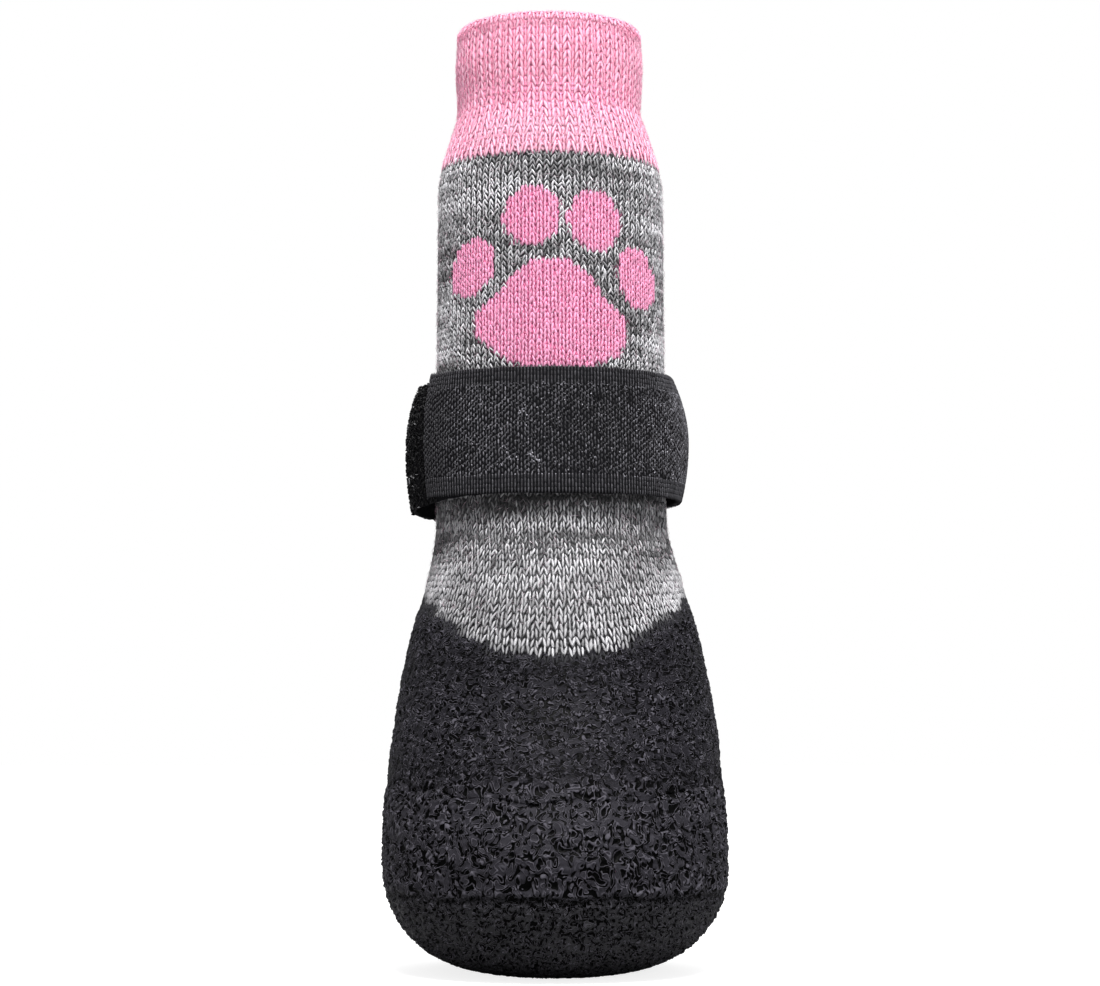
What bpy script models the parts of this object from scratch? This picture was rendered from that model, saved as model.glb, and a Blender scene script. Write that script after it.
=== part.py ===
"""Dog sock: a knitted sock with a rubber-dipped foot and a hook-and-loop strap.

Metres, +Z up. The toe points to -Y and the origin is at the bottom centre, on the floor.
One form, the outside of foot and leg, is worked out from SECTIONS. The rubber lies on its
inner side below the dip line, the knit lies inside the rubber, and the strap lies round it.
"""

import math
from collections import namedtuple

import bmesh
import bpy

MM = 0.001

# Walls and gaps
CUFF_WALL = 3.0 * MM
KNIT_WALL = 1.8 * MM
RUBBER_WALL = 1.1 * MM
GAP = 0.3 * MM

# Outside of foot and leg, in millimetres. front, back and widest are measured forwards and
# backwards from the leg's axis, widest being the station where the section has its full width.
# drift is how far the section's centre lies to +X, and squareness is 2 for an ellipse.
Section = namedtuple("Section", "height half_width front back widest drift squareness")
SECTIONS = (
    Section(20.0, 33.9, 55.0, 25.0, 13.0, 0.0, 2.2),
    Section(28.0, 33.8, 52.6, 25.0, 12.5, 0.0, 2.2),
    Section(36.0, 33.2, 47.4, 24.8, 11.0, 0.0, 2.2),
    Section(50.0, 31.9, 38.8, 23.8, 7.5, 0.0, 2.1),
    Section(65.0, 29.2, 31.2, 22.5, 4.0, 0.0, 2.0),
    Section(77.0, 26.0, 26.0, 21.5, 1.5, -0.1, 2.0),
    Section(89.0, 23.7, 22.8, 21.0, 0.5, -0.7, 2.0),
    Section(120.0, 23.5, 21.0, 21.0, 0.0, -0.9, 2.0),
    Section(157.0, 23.3, 21.0, 21.0, 0.0, -0.9, 2.0),
    Section(168.5, 21.0, 19.8, 19.8, 0.0, -1.0, 2.0),
    Section(173.0, 19.0, 18.2, 18.2, 0.0, -1.2, 2.0),
    Section(191.5, 19.5, 18.6, 18.6, 0.0, -1.2, 2.0),
)

# The sole rounds under in a quarter of an ellipse, higher at the heel than at toe and sides, down
# to one flat from heel to forefoot, which the sock stands on.
ROUND_HEIGHT = 20.0
HEEL_ROUND_HEIGHT = 28.0
FLAT = Section(0.0, 12.5, 33.5, 6.0, 11.0, 0.0, 2.0)
LEG_AXIS_Y = (SECTIONS[0].front - SECTIONS[0].back) / 2 * MM

# Dip line: the rubber's upper edge, lowest at the instep and highest at the heel
DIP_FRONT = 61.5
DIP_SIDE = 74.0
DIP_BACK = 78.0
DIP_ROW = 70.0
BEND_TOP = 92.0
KNIT_FULL = 5.0

# Rows of the form, in millimetres before the dip line bends them, and columns round it
COLUMNS = 40
ROUND_STEPS = 6
FOOT_ROWS = (28.0, 36.0, 43.0, 50.0, 57.0, 64.0, DIP_ROW)
LEG_ROWS = (71.0, 75.0, 80.0, 86.0, 92.0, 98.0, 106.0, 120.0, 140.0, 157.0, 163.0, 168.5, 173.0, 182.0, 191.5)
CUFF_ROW = 168.5
CUFF_BLEND = 8.0

# Strap. Angles are in degrees from the toe, positive to +X. stand_off is the clear distance, in
# millimetres, between the sock's form and the tape's inner face at mid height; where the tape
# stands free, its edges curl in by a share of that distance. droop is how far it hangs down.
STRAP_BOTTOM = 93.2
STRAP_TOP = 118.2
STRAP_ROWS = 5
STRAP_CURL = 0.2
STRAP_STEP = 7.5
LOOP_TAPE = 1.3 * MM
HOOK_TAPE = 1.2 * MM
Hold = namedtuple("Hold", "angle stand_off droop")
LOOP_PATH = (
    Hold(-195.0, 0.4, 0.0),
    Hold(-172.0, 0.4, 0.3),
    Hold(-140.0, 1.3, 1.2),
    Hold(-110.0, 3.7, 0.9),
    Hold(-90.0, 4.4, 0.4),
    Hold(-63.0, 2.3, 0.2),
    Hold(-35.0, 0.6, 0.0),
    Hold(0.0, 0.4, 0.0),
    Hold(30.0, 0.4, 0.0),
)
HOOK_PATH = (
    Hold(-63.0, 4.0, 0.0),
    Hold(-35.0, 2.3, 0.0),
    Hold(0.0, 2.1, 0.0),
    Hold(33.0, 2.15, 0.0),
    Hold(65.0, 2.9, 0.0),
    Hold(90.0, 3.3, 0.0),
    Hold(115.0, 2.7, 0.3),
    Hold(140.0, 2.1, 0.5),
    Hold(165.0, 2.1, 0.3),
    Hold(195.0, 2.1, 0.0),
)

# Colours (linear), roughness
PINK_KNIT = ((0.70, 0.33, 0.50, 1.0), 0.9)
BLACK_RUBBER = ((0.022, 0.021, 0.024, 1.0), 0.55)
BLACK_PILE = ((0.012, 0.012, 0.013, 1.0), 0.95)
BLACK_WEAVE = ((0.035, 0.034, 0.037, 1.0), 0.8)


def clear_scene():
    for item in list(bpy.data.objects):
        bpy.data.objects.remove(item, do_unlink=True)


def make_collection(name):
    collection = bpy.data.collections.new(name)
    bpy.context.scene.collection.children.link(collection)
    return collection


def make_material(name, look):
    colour, roughness = look
    material = bpy.data.materials.new(name)
    material.use_nodes = True
    shader = material.node_tree.nodes["Principled BSDF"]
    shader.inputs["Base Color"].default_value = colour
    shader.inputs["Roughness"].default_value = roughness
    shader.inputs["Metallic"].default_value = 0.0
    return material


def slope(rows, index, key, value):
    """Slope of one column at one row of a table, limited so that the curve never overshoots."""
    if index == 0 or index == len(rows) - 1:
        return 0.0
    before, here, after = rows[index - 1], rows[index], rows[index + 1]
    left = (value(here) - value(before)) / (key(here) - key(before))
    right = (value(after) - value(here)) / (key(after) - key(here))
    if left * right <= 0:
        return 0.0
    return 2 * left * right / (left + right)


def read_table(rows, at, key_name, value_name):
    """A column of a table at any key, along a smooth curve through its rows."""

    def key(row):
        return getattr(row, key_name)

    def value(row):
        return getattr(row, value_name)

    if at <= key(rows[0]):
        return value(rows[0])
    if at >= key(rows[-1]):
        return value(rows[-1])
    index = max(i for i, row in enumerate(rows) if key(row) <= at)
    low, high = rows[index], rows[index + 1]
    span = key(high) - key(low)
    t = (at - key(low)) / span
    blend = t * t * (3 - 2 * t)
    start = slope(rows, index, key, value) * span * t * (1 - t) ** 2
    end = slope(rows, index + 1, key, value) * span * t * t * (t - 1)
    return value(low) + (value(high) - value(low)) * blend + start + end


def round_share(height, full_height):
    """How much of its full size the form has at a height: a quarter of an ellipse, then all."""
    lift = max(0.0, full_height - height) / full_height
    return math.sqrt(max(0.0, 1 - lift * lift))


def section_at(height):
    """The form's section at a height in millimetres, with its rounding at the sole."""
    sizes = []
    for name in Section._fields[1:]:
        full = read_table(SECTIONS, height, "height", name)
        flat = getattr(FLAT, name)
        full_height = HEEL_ROUND_HEIGHT if name == "back" else ROUND_HEIGHT
        sizes.append(flat + (full - flat) * round_share(height, full_height))
    return Section(height, *sizes)


def dip_height(angle):
    """Height of the rubber's edge, in millimetres, at an angle in degrees from the toe."""
    along = math.cos(math.radians(angle))
    end = DIP_FRONT if along > 0 else DIP_BACK
    return DIP_SIDE + (end - DIP_SIDE) * along * along


def bend(height, angle):
    """Height of a row at an angle: rows near the dip line follow it, the others stay level."""
    if height <= ROUND_HEIGHT or height >= BEND_TOP:
        return height
    if height <= DIP_ROW:
        share = (height - ROUND_HEIGHT) / (DIP_ROW - ROUND_HEIGHT)
    else:
        share = (BEND_TOP - height) / (BEND_TOP - DIP_ROW)
    return height + (dip_height(angle) - DIP_ROW) * share


def form_point(height, angle, outward=0.0):
    """A point of the outside form, in metres, moved level outwards by a distance in metres."""
    section = section_at(height)
    turn = math.radians(angle)
    power = 2 / section.squareness
    across = math.copysign(abs(math.sin(turn)) ** power, math.sin(turn))
    along = math.copysign(abs(math.cos(turn)) ** power, math.cos(turn))
    reach = section.front - section.widest if along > 0 else section.back + section.widest
    x = section.drift * MM + (section.half_width * MM + outward) * across
    y = LEG_AXIS_Y - section.widest * MM - (reach * MM + outward) * along
    return (x, y, height * MM)


def form_mesh(rows):
    """The form's surface over some rows, closed underneath, as a bmesh with its rings of vertices."""
    work = bmesh.new()
    rings = []
    for row in rows:
        ring = []
        for column in range(COLUMNS):
            angle = 360 * column / COLUMNS
            ring.append(work.verts.new(form_point(bend(row, angle), angle)))
        rings.append(ring)
    for low, high in zip(rings, rings[1:]):
        for column in range(COLUMNS):
            after = (column + 1) % COLUMNS
            work.faces.new((low[column], low[after], high[after], high[column]))
    middle = work.verts.new((0.0, LEG_AXIS_Y - (FLAT.front - FLAT.back) / 2 * MM, 0.0))
    for column in range(COLUMNS):
        work.faces.new((rings[0][(column + 1) % COLUMNS], rings[0][column], middle))
    work.normal_update()
    return work, rings


def sink_knit(work, rings, rows):
    """Moves the knit's rows inwards where the rubber lies on them, and leaves the leg as it is."""
    depth = RUBBER_WALL + GAP
    moves = {}
    for vertex in work.verts:
        moves[vertex] = depth
    for row, ring in zip(rows, rings):
        share = min(1.0, max(0.0, (DIP_ROW + KNIT_FULL - row) / (KNIT_FULL - 1)))
        for vertex in ring:
            moves[vertex] = depth * share
    places = {v: v.co - v.normal * (moves[v] * v.calc_shell_factor()) for v in work.verts}
    for vertex, place in places.items():
        vertex.co = place


def add_object(name, work, collection, material):
    mesh = bpy.data.meshes.new(name)
    work.to_mesh(mesh)
    work.free()
    mesh.shade_smooth()
    item = bpy.data.objects.new(name, mesh)
    collection.objects.link(item)
    mesh.materials.append(material)
    return item


def add_wall(item, thickness, side, group=""):
    """Gives an open surface its wall: side -1 builds it inwards, 1 outwards."""
    wall = item.modifiers.new("Wall", "SOLIDIFY")
    wall.thickness = thickness
    wall.offset = side
    wall.use_even_offset = True
    wall.vertex_group = group


def round_rows():
    """Heights of the rows of the rounded underside, in even steps of the turn."""
    turns = [math.radians(90 * step / ROUND_STEPS) for step in range(ROUND_STEPS + 1)]
    return [ROUND_HEIGHT * (1 - math.cos(turn)) for turn in turns]


def make_knit_sock(collection):
    rows = round_rows() + list(FOOT_ROWS) + list(LEG_ROWS)
    work, rings = form_mesh(rows)
    sink_knit(work, rings, rows)
    cuff = {}
    work.verts.index_update()
    for row, ring in zip(rows, rings):
        share = min(1.0, max(0.0, (row - CUFF_ROW + CUFF_BLEND) / CUFF_BLEND))
        wall = KNIT_WALL + (CUFF_WALL - KNIT_WALL) * share
        for vertex in ring:
            cuff[vertex.index] = wall / CUFF_WALL
    item = add_object("knit_sock", work, collection, make_material("pink_and_grey_knit", PINK_KNIT))
    group = item.vertex_groups.new(name="wall")
    for index in range(len(item.data.vertices)):
        group.add([index], cuff.get(index, KNIT_WALL / CUFF_WALL), "REPLACE")
    add_wall(item, CUFF_WALL, -1, "wall")


def make_rubber_sole(collection):
    work, _ = form_mesh(round_rows() + list(FOOT_ROWS))
    item = add_object("rubber_sole", work, collection, make_material("black_rubber", BLACK_RUBBER))
    add_wall(item, RUBBER_WALL, -1)


def make_tape(name, path, thickness, collection, material):
    """A tape that stands on its edge round the leg: a strip along the form, with a wall outwards."""
    first, last = path[0].angle, path[-1].angle
    steps = math.ceil((last - first) / STRAP_STEP)
    work = bmesh.new()
    columns = []
    close = min(hold.stand_off for hold in path)
    for step in range(steps + 1):
        angle = first + (last - first) * step / steps
        stand_off = read_table(path, angle, "angle", "stand_off")
        droop = read_table(path, angle, "angle", "droop")
        column = []
        for row in range(STRAP_ROWS):
            share = row / (STRAP_ROWS - 1)
            curl = STRAP_CURL * (2 * share - 1) ** 2
            height = STRAP_BOTTOM + (STRAP_TOP - STRAP_BOTTOM) * share - droop
            outward = close + (stand_off - close) * (1 - curl)
            column.append(work.verts.new(form_point(height, angle, outward * MM)))
        columns.append(column)
    for here, after in zip(columns, columns[1:]):
        for row in range(STRAP_ROWS - 1):
            work.faces.new((here[row], after[row], after[row + 1], here[row + 1]))
    work.normal_update()
    item = add_object(name, work, collection, material)
    add_wall(item, thickness, 1)


def main():
    clear_scene()
    collection = make_collection("dog_sock")
    make_knit_sock(collection)
    make_rubber_sole(collection)
    make_tape("strap_loop_tape", LOOP_PATH, LOOP_TAPE, collection, make_material("black_pile", BLACK_PILE))
    make_tape("strap_hook_tape", HOOK_PATH, HOOK_TAPE, collection, make_material("black_weave", BLACK_WEAVE))


main()
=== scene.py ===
"""A knitted dog sock with a rubber-dipped foot and a hook-and-loop strap."""

import math

import bpy
import numpy as np
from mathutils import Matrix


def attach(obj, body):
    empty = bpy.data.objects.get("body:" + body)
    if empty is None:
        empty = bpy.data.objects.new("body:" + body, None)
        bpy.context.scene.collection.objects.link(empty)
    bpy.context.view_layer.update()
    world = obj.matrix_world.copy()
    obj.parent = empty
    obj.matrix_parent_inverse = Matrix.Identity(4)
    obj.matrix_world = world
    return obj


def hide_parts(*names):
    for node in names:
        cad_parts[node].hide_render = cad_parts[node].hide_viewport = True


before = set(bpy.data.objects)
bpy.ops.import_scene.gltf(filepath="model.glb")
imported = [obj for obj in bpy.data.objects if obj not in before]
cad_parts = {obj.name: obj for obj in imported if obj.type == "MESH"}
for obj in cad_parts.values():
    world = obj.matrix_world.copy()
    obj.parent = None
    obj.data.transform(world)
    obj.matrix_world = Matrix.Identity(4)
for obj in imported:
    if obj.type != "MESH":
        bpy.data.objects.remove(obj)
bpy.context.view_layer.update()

# ---------------------------------------------------------------------------------------------
# The studio. A plain pale floor under a white sky that is brightest overhead, large soft lamps,
# and a camera set low in front of the toe. None of it is part of the sock.
MM = 0.001
CAMERA_PLACE = (-1.0 * MM, -535.0 * MM, 45.0 * MM)
CAMERA_TILT = 5.22
CAMERA_LENS = 88.2
FLOOR_REACH = 4000.0
FLOOR_COLOUR = (0.38, 0.38, 0.383, 1.0)
WHITE = (1.0, 1.0, 1.0, 1.0)
SKY_LOW = 0.12
SKY_HIGH = 0.86
FLOOR_GLOW = 0.82
SKY_RISE = (-0.1, 0.9)
LAMPS_FACE = np.array((0.0, 0.0, 0.1))
SOFT_LAMPS = (
    # name, place, size, power, colour
    ("lamp_top", (0.06, -0.56, 1.15), 0.5, 24.0, (1.0, 0.99, 0.98)),
    ("lamp_left", (-0.95, -0.55, 0.45), 0.7, 0.6, (1.0, 0.99, 0.98)),
    ("lamp_right", (0.95, -0.45, 0.40), 0.7, 2.6, (0.98, 0.99, 1.0)),
    ("lamp_back", (0.15, 0.95, 0.75), 0.8, 4.0, (1.0, 1.0, 1.0)),
)


def new_material(name):
    """A node material, with its tree and its shader."""
    material = bpy.data.materials.new(name)
    material.use_nodes = True
    tree = material.node_tree
    return material, tree, tree.nodes["Principled BSDF"]


def add_object(name, data):
    item = bpy.data.objects.new(name, data)
    bpy.context.scene.collection.objects.link(item)
    return item


def new_node(tree, kind, **settings):
    node = tree.nodes.new(kind)
    for name, value in settings.items():
        setattr(node, name, value)
    return node


def feed(socket, value):
    """Links a socket from another one, or gives it a plain value."""
    if isinstance(value, bpy.types.NodeSocket):
        socket.id_data.links.new(value, socket)
    else:
        socket.default_value = value


def feed_all(node, values):
    """Feeds a node's inputs by their names."""
    for name, value in values.items():
        feed(node.inputs[name], value)


def tree_of(values):
    """The tree that the sockets among some values belong to."""
    return next(value.id_data for value in values if isinstance(value, bpy.types.NodeSocket))


def join_node(values, kind, **settings):
    """A node fed with some values in order, of which at least one is a socket."""
    node = new_node(tree_of(values), kind, **settings)
    for socket, value in zip(node.inputs, values):
        feed(socket, value)
    return node


def calculate(kind, *values):
    """A Math node; its inputs may be sockets or plain values."""
    return join_node(values, "ShaderNodeMath", operation=kind).outputs[0]


def limit(*values, kind="SMOOTHSTEP"):
    """A Map Range node: a value, its low and high ends, and what they become if not 0 and 1."""
    return join_node(values, "ShaderNodeMapRange", interpolation_type=kind).outputs[0]


def split(vector):
    """The three parts of a vector."""
    return join_node([vector], "ShaderNodeSeparateXYZ").outputs


def grid_faces(rows, columns, closed):
    """Faces of a grid of points, which meets itself where closed; rows go up, columns go round."""
    low = np.arange(rows - 1)[:, None] * columns
    here = np.arange(columns if closed else columns - 1)[None, :]
    after = (here + 1) % columns
    quads = np.stack([low + here, low + after, low + columns + after, low + columns + here], -1)
    return quads.reshape(-1, 4)


def make_mesh(name, points, faces):
    """A smooth mesh from points in millimetres."""
    mesh = bpy.data.meshes.new(name)
    mesh.from_pydata((points.reshape(-1, 3) * MM).tolist(), [], faces)
    mesh.shade_smooth()
    return mesh


floor_corners = FLOOR_REACH * np.array([[[-1, -1, 0], [1, -1, 0]], [[-1, 1, 0], [1, 1, 0]]])
floor = add_object("floor", make_mesh("floor", floor_corners, grid_faces(2, 2, False).tolist()))
floor_material, floor_tree, floor_shader = new_material("pale_paper")
floor_seen = new_node(floor_tree, "ShaderNodeLightPath").outputs["Is Camera Ray"]
feed_all(floor_shader, {
    "Base Color": FLOOR_COLOUR,
    "Roughness": 0.9,
    "Specular IOR Level": 0.05,
    "Emission Color": WHITE,
    "Emission Strength": calculate("MULTIPLY", floor_seen, FLOOR_GLOW),
})
floor.data.materials.append(floor_material)

world = bpy.data.worlds.new("white_sky")
world.use_nodes = True
sky_tree = world.node_tree
sky_height = split(new_node(sky_tree, "ShaderNodeTexCoord").outputs["Generated"])[2]
sky_glow = limit(sky_height, *SKY_RISE, SKY_LOW, SKY_HIGH, kind="LINEAR")
sky_seen = new_node(sky_tree, "ShaderNodeLightPath").outputs["Is Camera Ray"]
feed_all(sky_tree.nodes["Background"], {
    "Color": WHITE,
    "Strength": calculate("MAXIMUM", sky_glow, sky_seen),
})
bpy.context.scene.world = world
bpy.context.scene.view_settings.view_transform = "Standard"

for name, place, size, power, colour in SOFT_LAMPS:
    lamp_data = bpy.data.lights.new(name, "AREA")
    lamp_data.shape = "DISK"
    lamp_data.size = size
    lamp_data.energy = power
    lamp_data.color = colour
    lamp = add_object(name, lamp_data)
    lamp.location = place
    aim = LAMPS_FACE - np.array(place)
    lamp.rotation_euler = (
        math.pi / 2 + math.asin(aim[2] / np.linalg.norm(aim)),
        0.0,
        math.atan2(-aim[0], aim[1]),
    )

camera_data = bpy.data.cameras.new("camera")
camera_data.sensor_width = 36.0
camera_data.lens = CAMERA_LENS
camera_data.clip_start = 0.01
camera = add_object("camera", camera_data)
camera.location = CAMERA_PLACE
camera.rotation_euler = (math.radians(90 + CAMERA_TILT), 0.0, 0.0)
bpy.context.scene.camera = camera

# ---------------------------------------------------------------------------------------------
# The sock's ground. A tube knitted in grey and pink yarn on a small circular machine, closed at
# the toe, with its cuff turned over and double. This is the cloth's body, which shows between the
# stitches, as the wrong side in the collar, and as the foot inside the rubber. Its outside is
# painted in dark shade colours, the painted shade between the stitches.
SECTION_HEIGHTS = np.array((
    20.0, 28.0, 36.0, 50.0, 65.0, 77.0, 89.0, 120.0, 157.0, 163.0, 168.5, 174.5, 183.0, 191.5,
))
SECTION_SIZES = {
    "half_width": (33.9, 33.8, 33.2, 31.9, 29.2, 26.0, 23.7, 23.5, 23.3, 22.3, 20.6, 19.0, 19.4, 19.0),
    "front": (55.0, 52.6, 47.4, 38.8, 31.2, 26.0, 22.8, 21.0, 21.0, 20.6, 19.5, 18.2, 18.6, 18.2),
    "back": (25.0, 25.0, 24.8, 23.8, 22.5, 21.5, 21.0, 21.0, 21.0, 20.6, 19.5, 18.2, 18.6, 18.2),
    "widest": (13.0, 12.5, 11.0, 7.5, 4.0, 1.5, 0.5, 0.0, 0.0, 0.0, 0.0, 0.0, 0.0, 0.0),
    "drift": (0.0, 0.0, 0.0, 0.0, 0.0, -0.1, -0.7, -0.9, -0.9, -1.0, -1.0, -1.2, -1.2, -1.2),
    "squareness": (2.2, 2.2, 2.2, 2.1, 2.0, 2.0, 2.0, 2.0, 2.0, 2.0, 2.0, 2.0, 2.0, 2.0),
}
FLAT_SIZES = {
    "half_width": 12.5, "front": 33.5, "back": 6.0, "widest": 11.0, "drift": 0.0, "squareness": 2.0,
}
ROUND_HEIGHT = 20.0
HEEL_ROUND_HEIGHT = 28.0
LEG_AXIS = 15.0
DIP_FRONT = 61.5
DIP_SIDE = 74.0
DIP_BACK = 78.0
DIP_ROW = 70.0
BEND_TOP = 92.0
WALES = 98
COURSE = 1.07
CUFF_START = 164.0
PINK_START = 162.3
RIM_HEIGHT = 191.5
RIM_RADIUS = 1.5
KNIT_WALL = 1.8
CUFF_WALL = 3.0
UNDER_RUBBER = 1.5
INTO_RUBBER = (DIP_ROW + 4, DIP_ROW)
GROUND_DEPTH = 0.55
CUFF_GROUND_DEPTH = 0.47


def ramp(value, low, high):
    """0 at low and 1 at high, even between them and level beyond; high may lie below low."""
    return np.clip((value - low) / (high - low), 0, 1)


def curve_through(at, keys, values):
    """Reads a table along a smooth curve that never passes its own values."""
    keys = np.asarray(keys, float)
    values = np.asarray(values, float)
    at = np.clip(at, keys[0], keys[-1])
    spans = np.diff(keys)
    rises = np.diff(values) / spans
    left = rises[:-1]
    right = rises[1:]
    same = left * right > 0
    inner = np.where(same, 2 * left * right / np.where(same, left + right, 1.0), 0.0)
    slopes = np.concatenate([[0.0], inner, [0.0]])
    index = np.clip(np.searchsorted(keys, at, side="right") - 1, 0, len(spans) - 1)
    t = (at - keys[index]) / spans[index]
    rise = (values[index + 1] - values[index]) * t * t * (3 - 2 * t)
    start = slopes[index] * spans[index] * t * (1 - t) ** 2
    end = slopes[index + 1] * spans[index] * t * t * (t - 1)
    return values[index] + rise + start + end


def form(height, angle, outward=0.0):
    """Points of the sock's outside form in millimetres, at a height and an angle from the toe."""
    height, angle, outward = np.broadcast_arrays(
        np.asarray(height, float), np.asarray(angle, float), np.asarray(outward, float)
    )
    size = {}
    for name, column in SECTION_SIZES.items():
        full = curve_through(height, SECTION_HEIGHTS, column)
        full_height = HEEL_ROUND_HEIGHT if name == "back" else ROUND_HEIGHT
        lift = ramp(height, full_height, 0.0)
        size[name] = FLAT_SIZES[name] + (full - FLAT_SIZES[name]) * np.sqrt(1 - lift * lift)
    turn = np.radians(angle)
    power = 2 / size["squareness"]
    across = np.copysign(np.abs(np.sin(turn)) ** power, np.sin(turn))
    along = np.copysign(np.abs(np.cos(turn)) ** power, np.cos(turn))
    reach = np.where(along > 0, size["front"] - size["widest"], size["back"] + size["widest"])
    x = size["drift"] + (size["half_width"] + outward) * across
    y = LEG_AXIS - size["widest"] - (reach + outward) * along
    return np.stack([x, y, height], -1)


def dip_height(angle):
    """Height of the rubber's edge at an angle from the toe."""
    along = np.cos(np.radians(angle))
    end = np.where(along > 0, DIP_FRONT, DIP_BACK)
    return DIP_SIDE + (end - DIP_SIDE) * along * along


def bend(height, angle):
    """Height of a row at an angle: rows near the dip line follow it, the others stay level."""
    share = np.minimum(ramp(height, ROUND_HEIGHT, DIP_ROW), ramp(height, BEND_TOP, DIP_ROW))
    return height + (dip_height(angle) - DIP_ROW) * share


def unit(vectors):
    return vectors / np.maximum(np.linalg.norm(vectors, axis=-1, keepdims=True), 1e-9)


def push_out(points, distance):
    """Moves a closed grid of points along its own normals."""
    side = np.roll(points, -1, axis=1) - np.roll(points, 1, axis=1)
    up = np.gradient(points, axis=0)
    out = unit(np.cross(side, up))
    return points + out * np.broadcast_to(distance, points.shape[:2])[..., None]


def fan_faces(start, count, pole, turned):
    """Triangles from a ring of points to a pole, turned over where asked."""
    here = start + np.arange(count)
    after = start + (np.arange(count) + 1) % count
    pair = (after, here) if turned else (here, after)
    return np.stack([*pair, np.full(count, pole)], -1).tolist()


def round_heights(steps):
    """Heights of the rows of the rounded underside, in even steps of the turn."""
    return ROUND_HEIGHT * (1 - np.cos(np.radians(np.linspace(0, 90, steps + 1))))


PAD_OUTLINE = np.array((
    # height, how far the pink goes to the left, to the right
    (118.4, -5.6, 6.5),
    (119.6, -8.6, 9.9),
    (121.3, -11.3, 13.0),
    (123.1, -13.5, 14.1),
    (125.4, -16.0, 14.5),
    (128.4, -16.4, 14.4),
    (130.1, -15.9, 12.6),
    (132.5, -13.1, 9.9),
    (134.9, -10.2, 8.4),
    (137.2, -8.3, 6.9),
    (138.9, -6.2, 4.6),
    (140.2, -2.8, 2.2),
))
TOES = (
    # centre across, centre height, half width, half height, lean
    (-4.6, 148.9, 5.8, 5.9, 0.05),
    (7.9, 148.2, 5.1, 6.1, -0.05),
    (-16.8, 139.2, 4.4, 5.8, 0.16),
    (16.6, 137.4, 3.8, 6.1, -0.14),
)


def in_figure(x, z, is_front):
    """True where a stitch belongs to the pink paw on the front of the leg."""
    heights, lefts, rights = PAD_OUTLINE.T
    inside = (z > heights[0]) & (z < heights[-1])
    inside &= (x > np.interp(z, heights, lefts)) & (x < np.interp(z, heights, rights))
    for middle, height, half_width, half_height, lean in TOES:
        across = (x - middle - lean * (z - height)) / half_width
        rise = (z - height) / half_height
        inside |= across * across + rise * rise < 1
    return inside & is_front


def paint(mesh, name, colours):
    """Stores a colour for each point of a mesh."""
    layer = mesh.color_attributes.new(name, "FLOAT_COLOR", "POINT")
    full = np.ones((len(mesh.vertices), 4), np.float32)
    full[:, :3] = colours.reshape(-1, 3)
    layer.data.foreach_set("color", full.ravel())


def mix_rgb(kind, share, *colours):
    """A Mix node for two colours; its inputs may be sockets or plain values."""
    values = (share, *colours)
    node = new_node(tree_of(values), "ShaderNodeMix", data_type="RGBA", blend_type=kind)
    for index, value in zip((0, 6, 7), values):
        feed(node.inputs[index], (*value, 1.0) if isinstance(value, tuple) else value)
    return node.outputs[2]


def read_attribute(tree, name, output="Color"):
    return new_node(tree, "ShaderNodeAttribute", attribute_name=name).outputs[output]


def noise(vector, scale, detail, roughness, output=0):
    node = new_node(vector.id_data, "ShaderNodeTexNoise")
    feed_all(node, {"Vector": vector, "Scale": scale, "Detail": detail, "Roughness": roughness})
    return node.outputs[output]


def coordinates(tree, output):
    return new_node(tree, "ShaderNodeTexCoord").outputs[output]


def add_bump(shader, height, distance, strength):
    """A bump in metres, in front of the shader's normal."""
    node = new_node(shader.id_data, "ShaderNodeBump")
    feed_all(node, {"Distance": distance, "Strength": strength, "Height": height})
    if shader.inputs["Normal"].is_linked:
        feed(node.inputs["Normal"], shader.inputs["Normal"].links[0].from_socket)
    feed(shader.inputs["Normal"], node.outputs[0])


# Painted shade: the ground's outside colours are dark, deep shades of the yarns, standing for the shade
# between the stitches.
GREY_SHADE = np.array((0.075, 0.075, 0.079))
PINK_SHADE = np.array((0.88, 0.23, 0.45))
CUFF_SHADE = np.array((1.0, 0.33, 0.53))
CUFF_PALE = np.array((1.0, 0.54, 0.70))
PINK_LINING = np.array((0.62, 0.22, 0.36))
GREY_LINING = np.array((0.10, 0.10, 0.105))

foot_heights = np.concatenate([round_heights(9), np.arange(23.0, DIP_ROW + 1, 3.5)])
leg_heights = np.concatenate([
    [73.0, 77.0, 82.0, 88.0, 94.0, 100.0, 108.0, 115.0],
    118.4 + COURSE * np.arange(36),
    [158.5, 160.5, PINK_START - 0.3, PINK_START + 0.3, 166.0, 168.5, 171.0, 173.5, 178.0, 184.0, 188.0],
])
ground_angles = 360 * np.arange(WALES) / WALES
outer_heights = np.concatenate([foot_heights, leg_heights])
outer_angles, outer_grid = np.meshgrid(ground_angles, outer_heights)
outer_points = form(bend(outer_grid, outer_angles), outer_angles)
sunk = ramp(outer_grid, *INTO_RUBBER) * (UNDER_RUBBER - GROUND_DEPTH)
in_cuff = ramp(outer_grid, CUFF_START - 1, CUFF_START + 2) * (CUFF_GROUND_DEPTH - GROUND_DEPTH)
outer_points = push_out(outer_points, -(GROUND_DEPTH + sunk + in_cuff))

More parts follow.
